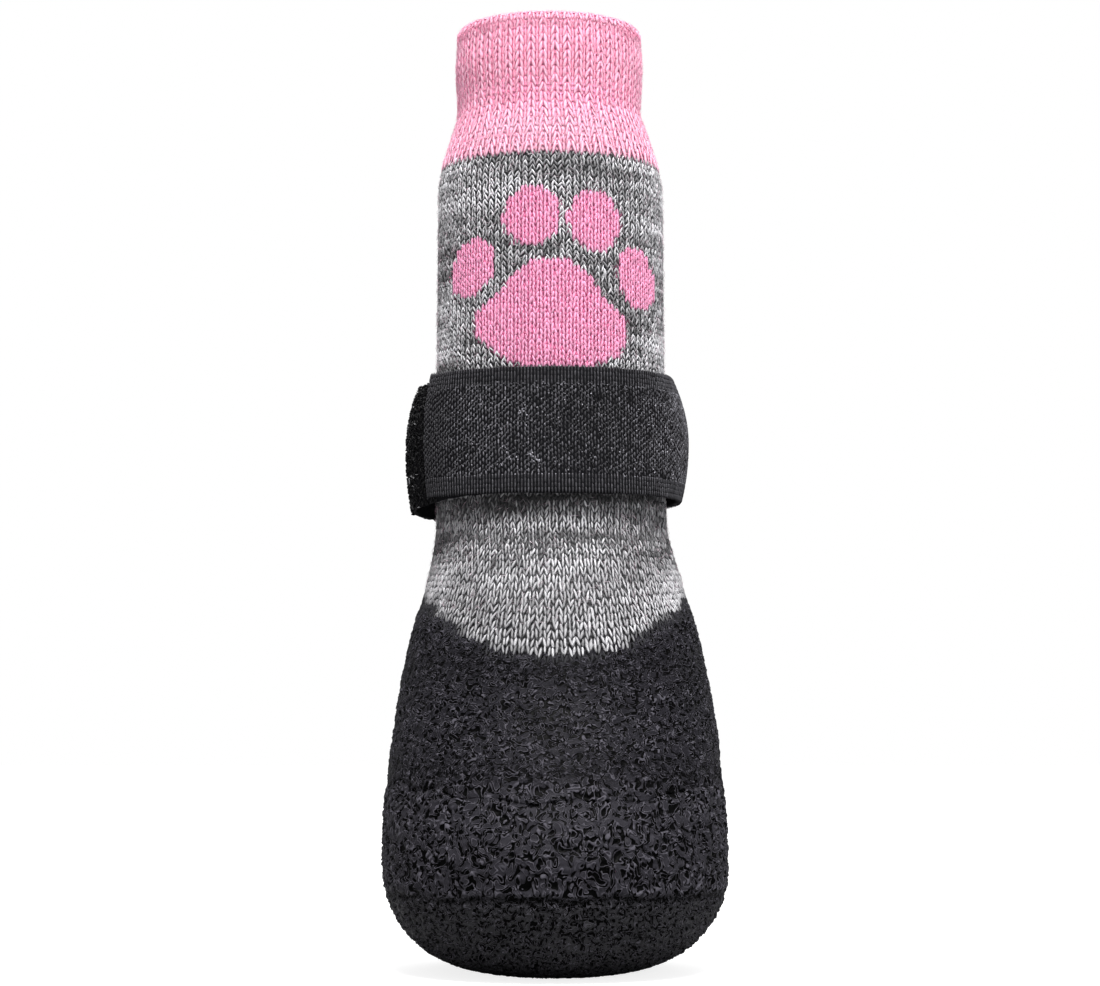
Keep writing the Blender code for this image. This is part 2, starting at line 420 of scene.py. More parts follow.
rim_turns = np.radians(np.linspace(0, 180, 7))
ground_radius = RIM_RADIUS - CUFF_GROUND_DEPTH
rim_rows = [
    form(
        RIM_HEIGHT - RIM_RADIUS + ground_radius * math.sin(turn),
        ground_angles,
        -RIM_RADIUS + ground_radius * math.cos(turn),
    )
    for turn in rim_turns
]
inner_heights = np.concatenate([
    np.arange(187.0, CUFF_START + 3, -3.0),
    [165.0, 161.0, 156.0, 148.0, 138.0, 126.0, 112.0, 100.0, 92.0, 86.0, 80.0, 75.0],
    foot_heights[::-1],
])
inner_angles, inner_grid = np.meshgrid(ground_angles, inner_heights)
cuff_blend = [CUFF_START - 4, CUFF_START + 4]
inner_wall = np.interp(inner_grid, cuff_blend, [KNIT_WALL, CUFF_WALL - CUFF_GROUND_DEPTH])
inner_wall = inner_wall + ramp(inner_grid, *INTO_RUBBER) * UNDER_RUBBER
inner_points = form(bend(inner_grid, inner_angles), inner_angles)[::-1]
inner_points = push_out(inner_points, -inner_wall[::-1])[::-1]

ground_points = np.concatenate([outer_points, np.array(rim_rows), inner_points])
ground_rows = len(ground_points)
ground_faces = grid_faces(ground_rows, WALES, True).tolist()
bottom = (0.0, LEG_AXIS - (FLAT_SIZES["front"] - FLAT_SIZES["back"]) / 2)
poles = np.array([
    (*bottom, ground_points[0, :, 2].mean()),
    (*bottom, ground_points[-1, :, 2].mean()),
])
first_pole = ground_rows * WALES
ground_faces += fan_faces(0, WALES, first_pole, True)
ground_faces += fan_faces(first_pole - WALES, WALES, first_pole + 1, False)
all_points = np.concatenate([ground_points.reshape(-1, 3), poles])
ground_mesh = make_mesh("sock_ground", all_points, ground_faces)

pink = in_figure(outer_points[..., 0], outer_points[..., 2], outer_points[..., 1] < LEG_AXIS)
outer_colours = np.where(pink[..., None], PINK_SHADE, GREY_SHADE)
cuff_paleness = ramp(outer_points[..., 2:], CUFF_START + 9, CUFF_START + 4)
cuff_colours = CUFF_SHADE + (CUFF_PALE - CUFF_SHADE) * cuff_paleness
outer_colours = np.where(outer_points[..., 2:] > PINK_START, cuff_colours, outer_colours)
rim_colours = np.broadcast_to(CUFF_PALE, (len(rim_rows), WALES, 3))
inner_pink = ramp(inner_points[..., 2:], CUFF_START - 1, CUFF_START + 1)
inner_colours = GREY_LINING + (PINK_LINING - GREY_LINING) * inner_pink
pole_colours = np.array([GREY_SHADE, GREY_LINING])
paint(
    ground_mesh,
    "tint",
    np.concatenate([
        outer_colours.reshape(-1, 3),
        rim_colours.reshape(-1, 3),
        inner_colours.reshape(-1, 3),
        pole_colours,
    ]),
)

ground_uv = ground_mesh.uv_layers.new(name="wales_and_courses")
loop_points = np.zeros(len(ground_mesh.loops), np.int32)
ground_mesh.loops.foreach_get("vertex_index", loop_points)
loop_wales = (loop_points % WALES).astype(float)
loop_wales[loop_points >= first_pole] = WALES / 2
face_starts = np.zeros(len(ground_mesh.polygons), np.int32)
face_sizes = np.zeros(len(ground_mesh.polygons), np.int32)
ground_mesh.polygons.foreach_get("loop_start", face_starts)
ground_mesh.polygons.foreach_get("loop_total", face_sizes)
loop_faces = np.repeat(np.arange(len(face_starts)), face_sizes)
face_first = loop_wales[face_starts[loop_faces]]
loop_wales = np.where(loop_wales - face_first > WALES / 2, loop_wales - WALES, loop_wales)
loop_wales = np.where(loop_wales - face_first < -WALES / 2, loop_wales + WALES, loop_wales)
loop_courses = all_points[loop_points, 2] / COURSE
ground_uv.data.foreach_set("uv", np.stack([loop_wales, loop_courses], -1).astype(np.float32).ravel())

ground_material, ground_tree, ground_shader = new_material("knit_ground")
wale_place, course_place, _ = split(coordinates(ground_tree, "UV"))
wale_turns = calculate("MULTIPLY", wale_place, math.tau)
purl_shift = calculate("MULTIPLY", calculate("COSINE", wale_turns), 0.28)
purl_course = calculate("ADD", course_place, purl_shift)
course_turns = calculate("MULTIPLY", purl_course, math.tau)
purl = calculate("MULTIPLY_ADD", calculate("COSINE", course_turns), 0.5, 0.5)
fluff = noise(coordinates(ground_tree, "Object"), 2600.0, 3.0, 0.6)
shade = calculate("MULTIPLY_ADD", purl, 0.55, 0.5)
shade = calculate("MULTIPLY", shade, calculate("MULTIPLY_ADD", fluff, 0.8, 0.6))
feed_all(ground_shader, {
    "Base Color": mix_rgb("MULTIPLY", 1.0, read_attribute(ground_tree, "tint"), shade),
    "Roughness": 0.95,
    "Specular IOR Level": 0.1,
    "Sheen Weight": 0.15,
})
add_bump(ground_shader, purl, 0.35 * MM, 0.9)
add_bump(ground_shader, fluff, 0.08 * MM, 0.6)
ground_mesh.materials.append(ground_material)
ground = add_object("sock_ground", ground_mesh)
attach(ground, "root")
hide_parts("knit_sock")

# ---------------------------------------------------------------------------------------------
# The leg's stitches, in marled grey cotton yarn of white, grey and black fibres, with the paw
# figure knitted in with pink yarn. Every stitch shows its two legs, which lean together at the
# top; the courses just above the rubber are longer.
BAND_TOP = 80.0
BAND_COURSE_FRONT = 1.58
BAND_COURSE_BACK = 1.12
LEG_COURSES = 77
BAND_COURSES = 13
TUCKED_UNDER = 3.2
WALE_SQUEEZE = 0.13
SQUEEZE_HEIGHTS = (95.0, 78.0)
STRAP_HIDES = (99.5, 112.5)
STITCH_DEPTH = 0.34
UPPER_LEG = 125.0
MARL_SPACING = 0.43
PAW_SPACING = 0.50
MARL_TONE = 0.64
MARL_SPREAD = 0.10
YARN_GREY = np.array((1.0, 0.995, 1.03))
PAW_ROSE = np.array((0.745, 0.345, 0.515))
RUBBER_STAIN = np.array((0.03, 0.03, 0.033))
FIBRES_ALONG = 2.5
FIBRES_ROUND = 9.0
LOT_STEP = 0.618
LOT_REACH = 40
STRAND_PARTS = ("places", "along", "out", "size", "tint")


def spindle(name, rings, sides, bow):
    """One short length of yarn, a unit long on Z, thick in its middle and bowed out along Y."""
    places = np.linspace(-0.5, 0.5, rings + 2)
    points = [(0.0, -bow, -0.5)]
    for place in places[1:-1]:
        width = 0.5 * math.cos(math.pi * place * 0.92) ** 0.55
        middle = -bow * (2 * place) ** 2
        for side in range(sides):
            turn = math.tau * (side + 0.25 * (sides % 2)) / sides
            points.append((width * math.sin(turn), middle + width * math.cos(turn), place))
    points.append((0.0, -bow, 0.5))
    faces = []
    for ring in range(rings - 1):
        start = 1 + ring * sides
        for side in range(sides):
            after = (side + 1) % sides
            faces.append((start + side, start + sides + side, start + sides + after, start + after))
    last = 1 + (rings - 1) * sides
    for side in range(sides):
        after = (side + 1) % sides
        faces.append((0, 1 + side, 1 + after))
        faces.append((last + after, last + side, len(points) - 1))
    mesh = make_mesh(name, np.array(points) / MM, faces)
    layer = mesh.uv_layers.new(name="strand")
    for face in mesh.polygons:
        turns = []
        for index in face.vertices:
            x, y, z = mesh.vertices[index].co
            turns.append((math.atan2(x, y + bow * (2 * z) ** 2) / math.tau) % 1.0)
        for loop, index, turn in zip(face.loop_indices, face.vertices, turns):
            if max(turns) - min(turns) > 0.5 and turn < 0.5:
                turn += 1.0
            layer.data[loop].uv = (mesh.vertices[index].co.z + 0.5, turn)
    return add_object(name, mesh)


def new_group(kind, name, inputs, output):
    """A node group with named inputs and one output, and both its ends."""
    tree = bpy.data.node_groups.new(name, kind)
    for label, value_kind in inputs.items():
        tree.interface.new_socket(label, in_out="INPUT", socket_type="NodeSocket" + value_kind)
    tree.interface.new_socket(output[0], in_out="OUTPUT", socket_type="NodeSocket" + output[1])
    return tree, new_node(tree, "NodeGroupInput").outputs, new_node(tree, "NodeGroupOutput").inputs


def named_attribute(tree, name, kind="FLOAT_VECTOR"):
    node = new_node(tree, "GeometryNodeInputNamedAttribute", data_type=kind)
    feed(node.inputs["Name"], name)
    return node.outputs["Attribute"]


def combine(*values):
    """A vector from its three parts."""
    return join_node(values, "ShaderNodeCombineXYZ").outputs[0]


def move(kind, first, second):
    """A Vector Math node; its second input may be a socket or plain values."""
    node = new_node(first.id_data, "ShaderNodeVectorMath", operation=kind)
    feed(node.inputs[0], first)
    feed(node.inputs["Scale" if kind == "SCALE" else 1], second)
    return node.outputs["Value" if kind == "DOT_PRODUCT" else "Vector"]


def dress(geometry, material):
    """The end of a Geometry Nodes tree: its geometry with its material on."""
    node = new_node(geometry.id_data, "GeometryNodeSetMaterial")
    feed_all(node, {"Geometry": geometry, "Material": material})
    return node.outputs[0]


def strand_tree():
    """Geometry Nodes that lay a strand on every point, turned and sized by the points' attributes."""
    tree, given, result = new_group("GeometryNodeTree", "strands_on_points", {
        "Points": "Geometry",
        "Strand": "Object",
        "Width": "Float",
        "Depth": "Float",
        "Length": "Float",
        "Unevenness": "Float",
        "Seed": "Int",
        "Yarn": "Material",
    }, ("Strands", "Geometry"))

    def wander(step):
        """A random vector as large as the unevenness; the step keeps two of them apart."""
        node = new_node(tree, "FunctionNodeRandomValue", data_type="FLOAT_VECTOR")
        seed = calculate("ADD", given["Seed"], step)
        feed_all(node, {"Min": (-1.0,) * 3, "Max": (1.0,) * 3, "Seed": seed})
        return move("SCALE", node.outputs["Value"], given["Unevenness"])

    turn = new_node(tree, "FunctionNodeAxesToRotation", primary_axis="Z", secondary_axis="Y")
    feed_all(turn, {
        "Primary Axis": move("ADD", named_attribute(tree, "along"), wander(0)),
        "Secondary Axis": named_attribute(tree, "out"),
    })
    sizes = combine(given["Width"], given["Depth"], given["Length"])
    sized = move("MULTIPLY", named_attribute(tree, "size"), sizes)
    sized = move("ADD", sized, move("MULTIPLY", sized, wander(7)))
    strand = new_node(tree, "GeometryNodeObjectInfo")
    feed(strand.inputs["Object"], given["Strand"])
    lay = new_node(tree, "GeometryNodeInstanceOnPoints")
    feed_all(lay, {
        "Points": given["Points"],
        "Instance": strand.outputs["Geometry"],
        "Rotation": turn.outputs[0],
        "Scale": sized,
    })
    real = new_node(tree, "GeometryNodeRealizeInstances")
    feed(real.inputs[0], lay.outputs[0])
    feed(result[0], dress(real.outputs[0], given["Yarn"]))
    return tree


strands_on_points = strand_tree()


def apply_nodes(piece, tree, inputs):
    """Runs a Geometry Nodes tree on a piece and keeps the result as its plain mesh."""
    modifier = piece.modifiers.new(tree.name, "NODES")
    modifier.node_group = tree
    for item in tree.interface.items_tree:
        if item.in_out == "INPUT" and item.name in inputs:
            modifier[item.identifier] = inputs[item.name]
    depsgraph = bpy.context.evaluated_depsgraph_get()
    mesh = bpy.data.meshes.new_from_object(
        piece.evaluated_get(depsgraph), preserve_all_data_layers=True, depsgraph=depsgraph
    )
    piece.modifiers.clear()
    piece.data = mesh
    mesh.name = piece.name
    mesh.shade_smooth()
    return piece


def store(mesh, name, kind, values):
    """Stores a FLOAT or a FLOAT_VECTOR for each point of a mesh."""
    layer = mesh.attributes.new(name, kind, "POINT")
    field = "value" if kind == "FLOAT" else "vector"
    layer.data.foreach_set(field, np.asarray(values, np.float32).ravel())


def gather(parts, *values):
    """Adds strands to a lot: their places, directions, outward directions, sizes and tints."""
    for name, value in zip(STRAND_PARTS, values):
        parts.setdefault(name, []).append(value.reshape(-1, 3))


def lay_strands(name, parts, strand, yarn, sizes, unevenness, seed):
    """Lays a strand at every place of a gathered lot, at a width, depth and length in millimetres,
    and returns them as one plain mesh object."""
    places, along, out, size, tint = (np.concatenate(parts[part]) for part in STRAND_PARTS)
    mesh = bpy.data.meshes.new(name)
    mesh.from_pydata((places * MM).tolist(), [], [])
    store(mesh, "along", "FLOAT_VECTOR", along)
    store(mesh, "out", "FLOAT_VECTOR", out)
    store(mesh, "size", "FLOAT_VECTOR", size)
    paint(mesh, "tint", tint)
    store(mesh, "lot", "FLOAT", np.arange(len(places)) * LOT_STEP % 1.0 * LOT_REACH)
    inputs = {"Strand": strand, "Yarn": yarn, "Unevenness": unevenness, "Seed": seed}
    for label, size in zip(("Width", "Depth", "Length"), sizes):
        inputs[label] = size * MM
    return apply_nodes(add_object(name, mesh), strands_on_points, inputs)


def smooth_chart(shape, spread, seed):
    """Noise on a chart of stitches, spread along its courses and wales and wrapped at its edges."""
    chart = np.random.default_rng(seed).standard_normal(shape)
    for axis, width in enumerate(spread):
        reach = np.arange(-math.ceil(3 * width), math.ceil(3 * width) + 1)
        weights = np.exp(-(reach**2) / (2 * width**2))
        chart = sum(weight * np.roll(chart, step, axis) for step, weight in zip(reach, weights))
    return chart / chart.std()


def from_srgb(value):
    """Linear light from a display value between 0 and 1."""
    value = np.clip(value, 0.0, 1.0)
    return np.where(value <= 0.04045, value / 12.92, ((value + 0.055) / 1.055) ** 2.4)


def directions(at, along, angle, step):
    """Round, up and outward directions of a surface, given as a function of a way up and an angle."""
    side = unit(at(along, angle + 0.5) - at(along, angle - 0.5))
    up = unit(at(along + step, angle) - at(along - step, angle))
    return side, up, unit(np.cross(side, up))


def surface_axes(height, angle, outward):
    """Place, round-the-leg, up and outward directions on the form."""
    def at(height, angle):
        return form(height, angle, outward)

    side, _, out = directions(at, height, angle, 0.4)
    return at(height, angle), side, np.cross(out, side), out


def fibre_group():
    """Fine fibres along a strand, as a value round 0.5 that follows the strand's own map."""
    group, given, result = new_group("ShaderNodeTree", "fibres", {
        "Along": "Float",
        "Round": "Float",
    }, ("Fibres", "Float"))
    along, turn, _ = split(new_node(group, "ShaderNodeUVMap", uv_map="strand").outputs[0])
    twist = calculate("MULTIPLY_ADD", along, 0.55, turn)
    spread = combine(
        calculate("MULTIPLY", along, given["Along"]),
        calculate("MULTIPLY", twist, given["Round"]),
        read_attribute(group, "lot", "Fac"),
    )
    feed(result[0], noise(spread, 1.0, 2.0, 0.6))
    return group


fibres = fibre_group()


def yarn_material(name, contrast, flank_shade_colour, roughness=0.85, gloss=0.08):
    """Spun yarn: its colour comes with each strand, fibres run along it, and the flanks that it
    turns to its neighbours are tinted by a given colour: painted shade between the strands."""
    material, tree, shader = new_material(name)
    node = new_node(tree, "ShaderNodeGroup", node_tree=fibres)
    feed_all(node, {"Along": FIBRES_ALONG, "Round": FIBRES_ROUND})
    shade = calculate("MULTIPLY_ADD", node.outputs[0], contrast, 1 - contrast / 2)
    normal = new_node(tree, "ShaderNodeNewGeometry").outputs["Normal"]
    facing = move("DOT_PRODUCT", read_attribute(tree, "out", "Vector"), normal)
    # Painted shade: flanks turned away from the cloth's outward direction take the darker shade colour.
    painted_flank_shade = mix_rgb("MIX", limit(facing, 0.1, 0.75, kind="LINEAR"), flank_shade_colour, WHITE[:3])
    tint = mix_rgb("MULTIPLY", 1.0, read_attribute(tree, "tint"), painted_flank_shade)
    feed_all(shader, {
        "Base Color": mix_rgb("MULTIPLY", 1.0, tint, shade),
        "Roughness": roughness,
        "Specular IOR Level": gloss,
    })
    add_bump(shader, node.outputs[0], 0.12 * MM, contrast)
    return material


def wale_angle(wale, height):
    """Angle of a wale: the wales draw together over the instep, where the foot spreads."""
    angle = 360 * (wale + 0.5) / WALES
    squeeze = WALE_SQUEEZE * ramp(height, *SQUEEZE_HEIGHTS)
    return angle - np.degrees(squeeze * np.sin(np.radians(angle)))


stitch_numbers, course_numbers = np.meshgrid(np.arange(WALES), np.arange(-BAND_COURSES, LEG_COURSES))
rough_angles = 360 * (stitch_numbers + 0.5) / WALES
frontness = np.clip(np.cos(np.radians(rough_angles)), 0, 1) ** 1.5
band_course = BAND_COURSE_BACK + (BAND_COURSE_FRONT - BAND_COURSE_BACK) * frontness
course_size = np.where(course_numbers >= 0, COURSE, band_course)
stitch_heights = BAND_TOP + (course_numbers + 0.5) * course_size
stitch_angles = wale_angle(stitch_numbers, stitch_heights)
dip_here = dip_height(stitch_angles)
kept = stitch_heights > dip_here - TUCKED_UNDER
kept &= (stitch_heights < STRAP_HIDES[0]) | (stitch_heights > STRAP_HIDES[1])

chart = course_numbers.shape
drift_tone = smooth_chart(chart, (0.6, 3.5), 11)
patch_tone = smooth_chart(chart, (2.5, 9.0), 12)
stitch_places = form(stitch_heights, stitch_angles)
stitch_pink = in_figure(stitch_places[..., 0], stitch_places[..., 2], stitch_places[..., 1] < LEG_AXIS)
half_wale = 180 / WALES
wale_ends = [form(stitch_heights, stitch_angles + half_wale * end) for end in (-0.9, 0.9)]
wale_width = np.linalg.norm(wale_ends[1] - wale_ends[0], axis=-1) / 0.9

in_band = ramp(stitch_heights, BAND_TOP + 1, BAND_TOP - 1)
# Painted shadow of the strap: the knit between the band and the strap, and most of all right under the
# strap's lower edge, is painted darker.
strap_shade_zone = ramp(stitch_heights, 94, 91) * (1 - in_band)
strap_edge_shadow = ramp(stitch_heights, 88.5, 92.5) * (stitch_heights < 100)
at_cuff = ramp(stitch_heights, 160.5, 161.5)
dice = np.random.default_rng(5)
leg_parts = {}
for side_sign in (-1, 1):
    spacing = np.where(stitch_pink, PAW_SPACING, MARL_SPACING + 0.05 * in_band)
    angle = stitch_angles + half_wale * (side_sign * spacing + dice.normal(0, 0.08, chart))
    shaken = stitch_heights + course_size * dice.normal(0, 0.14, chart) * ~stitch_pink
    place, side, up, out = surface_axes(shaken, angle, -STITCH_DEPTH)
    lean = np.where(stitch_pink, 0.19, 0.35 - 0.15 * in_band - 0.10 * strap_shade_zone)
    lean = lean + dice.normal(0, 0.15, chart) * np.where(stitch_pink, 0.2, 1 - 0.5 * in_band)
    along = up * np.cos(lean)[..., None] - side_sign * side * np.sin(lean)[..., None]
    # Painted shade: the stitches are painted lighter towards the front of the leg and darker round its
    # sides and back.
    tone = MARL_TONE + 0.09 * frontness + 0.09 * drift_tone * (1 - 0.6 * in_band) + 0.04 * patch_tone
    tone = tone + dice.normal(0, MARL_SPREAD, chart) * (1 - 0.4 * in_band)
    # Painted shadow below the strap; the stitches just below the cuff are darker as well.
    tone = tone - 0.13 * strap_shade_zone - 0.10 * at_cuff - 0.24 * strap_edge_shadow
    tone = np.clip(tone, 0.25, 0.86) - 0.05 * in_band
    grey = from_srgb(tone)[..., None] * YARN_GREY
    rose = PAW_ROSE * (1 + dice.normal(0, 0.05, chart))[..., None]
    stain_top = dip_here + 0.4 + 0.5 * smooth_chart(chart, (0.5, 1.2), 21)
    stain = ramp(stitch_heights, stain_top, stain_top - 1.2)
    grey = grey + (RUBBER_STAIN - grey) * stain[..., None]
    tint = np.where(stitch_pink[..., None], rose, grey)
    thick = np.where(stitch_pink, 1.47, 0.94 + 0.14 * in_band) * (1 + dice.normal(0, 0.06, chart))
    reach = np.where(stitch_pink, 1.08, course_size / COURSE)
    size = np.stack([wale_width / 1.45 * thick, thick * (1 - 0.35 * stitch_pink), reach], -1)
    gather(leg_parts, place[kept], along[kept], out[kept], size[kept], tint[kept])
leg_pink = np.tile(stitch_pink[kept], 2)
leg_high = np.tile(stitch_heights[kept], 2) > UPPER_LEG

yarn_grain = spindle("yarn_grain", 3, 4, 0.16)
rib_grain = spindle("rib_grain", 4, 4, 0.06)
marl_yarn = yarn_material("marled_grey_yarn", 0.8, (0.72, 0.72, 0.74))
pink_yarn = yarn_material("pink_yarn", 0.24, (1.0, 0.60, 0.74))
for name, chosen, grain, material, slot, seed in (
    ("stitches_upper_leg", ~leg_pink & leg_high, yarn_grain, marl_yarn, "grey_yarn", 31),
    ("stitches_lower_leg", ~leg_pink & ~leg_high, yarn_grain, marl_yarn, "grey_yarn", 32),
    ("stitches_paw", leg_pink, rib_grain, pink_yarn, "pink_yarn", 33),
):
    stitches = lay_strands(
        name,
        {part: [np.concatenate(values)[chosen]] for part, values in leg_parts.items()},
        grain,
        material,
        sizes=(0.42, 0.48, 1.75),
        unevenness=0.12,
        seed=seed,
    )
    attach(stitches, "root")
    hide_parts("knit_sock")

LEG_FIBRES = 9000
FUZZ_BOTTOM = 66.0
FUZZ_MARGIN = 7.0
stray_fibre = spindle("stray_fibre", 1, 3, 2.5)


def lay_fuzz(name, place, side, up, out, tint, slot, seed):
    """Scatters fine fibres that have worked loose from the yarn, at places with their directions."""
    fuzz_dice = np.random.default_rng(seed)
    heading = fuzz_dice.uniform(0, math.tau, len(place))[:, None]
    raised = out * fuzz_dice.normal(0, 0.3, (len(place), 1))
    along = unit(side * np.cos(heading) + up * np.sin(heading) + raised)
    size = np.ones((len(place), 3)) * fuzz_dice.uniform(0.6, 1.2, (len(place), 1))
    parts = {}
    gather(parts, place, along, out, size, tint)
    fuzz = lay_strands(
        name,
        parts,
        stray_fibre,
        pink_yarn,
        sizes=(0.06, 0.06, 1.9),
        unevenness=0.1,
        seed=seed,
    )
    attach(fuzz, "root")
    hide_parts("knit_sock")


fuzz_dice = np.random.default_rng(35)
fuzz_height = fuzz_dice.uniform(FUZZ_BOTTOM, CUFF_START, LEG_FIBRES)
fuzz_angle = fuzz_dice.uniform(0.0, 360.0, LEG_FIBRES)
open_knit = fuzz_height > dip_height(fuzz_angle) + 1
strap_edges = (STRAP_HIDES[0] - FUZZ_MARGIN, STRAP_HIDES[1] + FUZZ_MARGIN)
open_knit &= (fuzz_height < strap_edges[0]) | (fuzz_height > strap_edges[1])
fuzz_height = fuzz_height[open_knit]
fuzz_angle = fuzz_angle[open_knit]
fuzz_place = form(fuzz_height, fuzz_angle)
fuzz_pink = in_figure(fuzz_place[:, 0], fuzz_place[:, 2], fuzz_place[:, 1] < LEG_AXIS)
fuzz_tone = from_srgb(np.clip(fuzz_dice.normal(0.72, 0.15, len(fuzz_height)), 0.3, 0.97))[:, None]
lay_fuzz(
    "leg_fuzz",
    *surface_axes(fuzz_height, fuzz_angle, 0.05),
    np.where(fuzz_pink[:, None], (0.93, 0.42, 0.60), fuzz_tone * YARN_GREY),
    "grey_yarn",
    36,
)

# ---------------------------------------------------------------------------------------------
# The cuff's ribs, in soft pink yarn, knitted one plain one purl. The cuff is turned over, so its
# ribs run up the outside, over the rolled rim and down inside. Its lower end spreads over the
# grey in pointed stitches.
RIBS = WALES // 2
CUFF_INSIDE = 18.0
CUFF_COURSE = 1.68
CUFF_STITCH_DEPTH = 0.32
PURL_DEPTH = 0.55
RIB_TIPS = -1.1
RIB_SPREAD = 0.42
RIB_ROSE = np.array((0.80, 0.455, 0.580))
RIB_PALE = np.array((0.82, 0.500, 0.620))
CUFF_FIBRES = 7500
RIM_FIBRES = 3500
FIBRE_PINK = np.array((0.95, 0.52, 0.68))
PURL_ROSE = np.array((0.90, 0.39, 0.53))

straight = RIM_HEIGHT - RIM_RADIUS - CUFF_START
over_rim = math.pi * RIM_RADIUS


def cuff_profile(path):
    """Height and outward distance at a length of path from the cuff's lower end."""
    turn = np.clip((path - straight) / RIM_RADIUS, 0, math.pi)
    height = CUFF_START + np.minimum(path, straight) + RIM_RADIUS * np.sin(turn)
    height = height - np.maximum(path - straight - over_rim, 0)
    return height, RIM_RADIUS * (np.cos(turn) - 1)


def cuff_axes(path, angle, depth):
    """Place and directions on the cuff at a length of path, sunk by a depth."""
    def at(path, angle):
        height, outward = cuff_profile(path)
        return form(height, angle, outward)

    side, up, out = directions(at, path, angle, 0.3)
    return at(path, angle) - out * depth, side, up, out


def ridge(distance, width):
    """1 on a line, fading to 0 beside it."""
    return np.exp(-((distance / width) ** 2))


cuff_length = straight + over_rim + CUFF_INSIDE
cuff_paths = []
path = RIB_TIPS
while path < cuff_length:
    cuff_paths.append(path)
    path += CUFF_COURSE * (1.0 + 0.14 * ramp(path, 8, 0))
cuff_paths = np.array(cuff_paths)
rib_numbers, rib_paths = np.meshgrid(np.arange(RIBS), cuff_paths)
rib_chart = rib_numbers.shape
rib_angles = 360 * (rib_numbers + 0.5) / RIBS
rib_half = 180 / RIBS
rib_tone = smooth_chart(rib_chart, (1.5, 2.0), 41)
at_rim = ridge(rib_paths - straight - 1.5, 2.5)
paleness = np.maximum(ramp(rib_paths, 9, 4), at_rim)
cuff_parts = {}
for side_sign in (-1, 1):
    angle = rib_angles + side_sign * rib_half * RIB_SPREAD
    depth = CUFF_STITCH_DEPTH * np.clip(0.4 + rib_paths, 0.4, 1.0)
    place, side, up, out = cuff_axes(rib_paths, angle, depth[..., None])
    lean = 0.21 + dice.normal(0, 0.04, rib_chart)
    along = up * np.cos(lean)[..., None] - side_sign * side * np.sin(lean)[..., None]
    faced = unit(out + side * 0.35 * side_sign)
    shade = 1 + 0.03 * rib_tone + dice.normal(0, 0.03, rib_chart)
    rose = RIB_ROSE * shade[..., None]
    tint = np.clip(rose + (RIB_PALE - rose) * (0.6 * paleness)[..., None], 0, 1)
    swell = 1 - 0.08 * paleness + dice.normal(0, 0.06, rib_chart)
    length = (1 + 0.12 * paleness) * (1 - 0.35 * at_rim)
    gather(cuff_parts, place, along, faced, np.stack([swell, swell, length], -1), tint)
purl_place, side, up, out = cuff_axes(rib_paths, rib_angles + rib_half, PURL_DEPTH)
purl_lean = dice.normal(0, 0.06, rib_chart)[..., None]
purl_size = np.stack([np.full(rib_chart, 0.80), np.full(rib_chart, 0.90), 0.85 - 0.3 * at_rim], -1)
purl_rose = PURL_ROSE * (1 + dice.normal(0, 0.04, rib_chart))[..., None]
purl_tint = purl_rose + (RIB_PALE - purl_rose) * (0.5 * paleness)[..., None]
gather(cuff_parts, purl_place, unit(up + side * purl_lean), out, purl_size, purl_tint)
cuff_ribs = lay_strands(
    "cuff_ribs",
    cuff_parts,
    rib_grain,
    pink_yarn,
    sizes=(0.86, 0.47, 2.90),
    unevenness=0.07,
    seed=42,
)
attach(cuff_ribs, "root")
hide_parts("knit_sock")

cuff_fuzz_path = np.concatenate([
    fuzz_dice.uniform(-1.0, straight, CUFF_FIBRES),
    fuzz_dice.uniform(straight - 1.5, straight + over_rim, RIM_FIBRES),
])
cuff_fuzz_shade = 1 + fuzz_dice.normal(0, 0.05, (len(cuff_fuzz_path), 1))
cuff_fuzz_angle = fuzz_dice.uniform(0.0, 360.0, len(cuff_fuzz_path))
lay_fuzz(
    "cuff_fuzz",
    *cuff_axes(cuff_fuzz_path, cuff_fuzz_angle, -0.02),
    np.clip(FIBRE_PINK * cuff_fuzz_shade, 0, 1),
    "pink_yarn",
    45,
)

# ---------------------------------------------------------------------------------------------
# The rubber foot. The knitted foot is dipped in black rubber, which dries as one thin crinkled
# skin: fine short wrinkles over the instep, broad ones low down, a fold across the toe cap, and a
# ragged edge where the stitches come through. An upper and a lower part meet in the fold.
FOLD_ROW = 36.0
SEAM_ROW = 15.5
RUBBER_COLUMNS = 410
RUBBER_WALL = 1.1
RUBBER_ROW = 0.42
TURNED_EDGE = 4.0
EDGE_DEPTH = 0.46
MOUND_HEIGHT = 0.22
LIP_HEIGHT = 0.25
FOLD_DEPTH = 0.35
SEAM_DEPTH = 0.40
INSIDE_ROWS = 8
SOLE_RINGS = 14
SOLE_HOLE = 0.12
CREASE_DEPTH_ABOVE = 0.24 * MM
CREASE_DEPTH_BELOW = 0.38 * MM
INSIDE_FLOOR = 0.8
INSTEP_CREASES = ((0.92, 0.92, 1.42), 1.5)
CREASE_BANDS = (
    # height where its creases begin, where they are full, their scale, their sway
    (66.0, 52.0, (0.91, 0.91, 1.20), 1.6),
    (44.0, 34.0, (0.86, 0.86, 0.68), 1.9),
    (17.0, 14.5, (1.35, 1.35, 1.35), 1.4),
)
UNDER_SKIN = (0.0330, 0.0330, 0.0358)
TOE_SKIN = (0.0214, 0.0204, 0.0252)
INSTEP_SKIN = (0.0120, 0.0115, 0.0146)
GAP_SHADE_SKIN = (0.0003, 0.0003, 0.0004)
LIP_HIGHLIGHT_SKIN = (0.112, 0.107, 0.129)


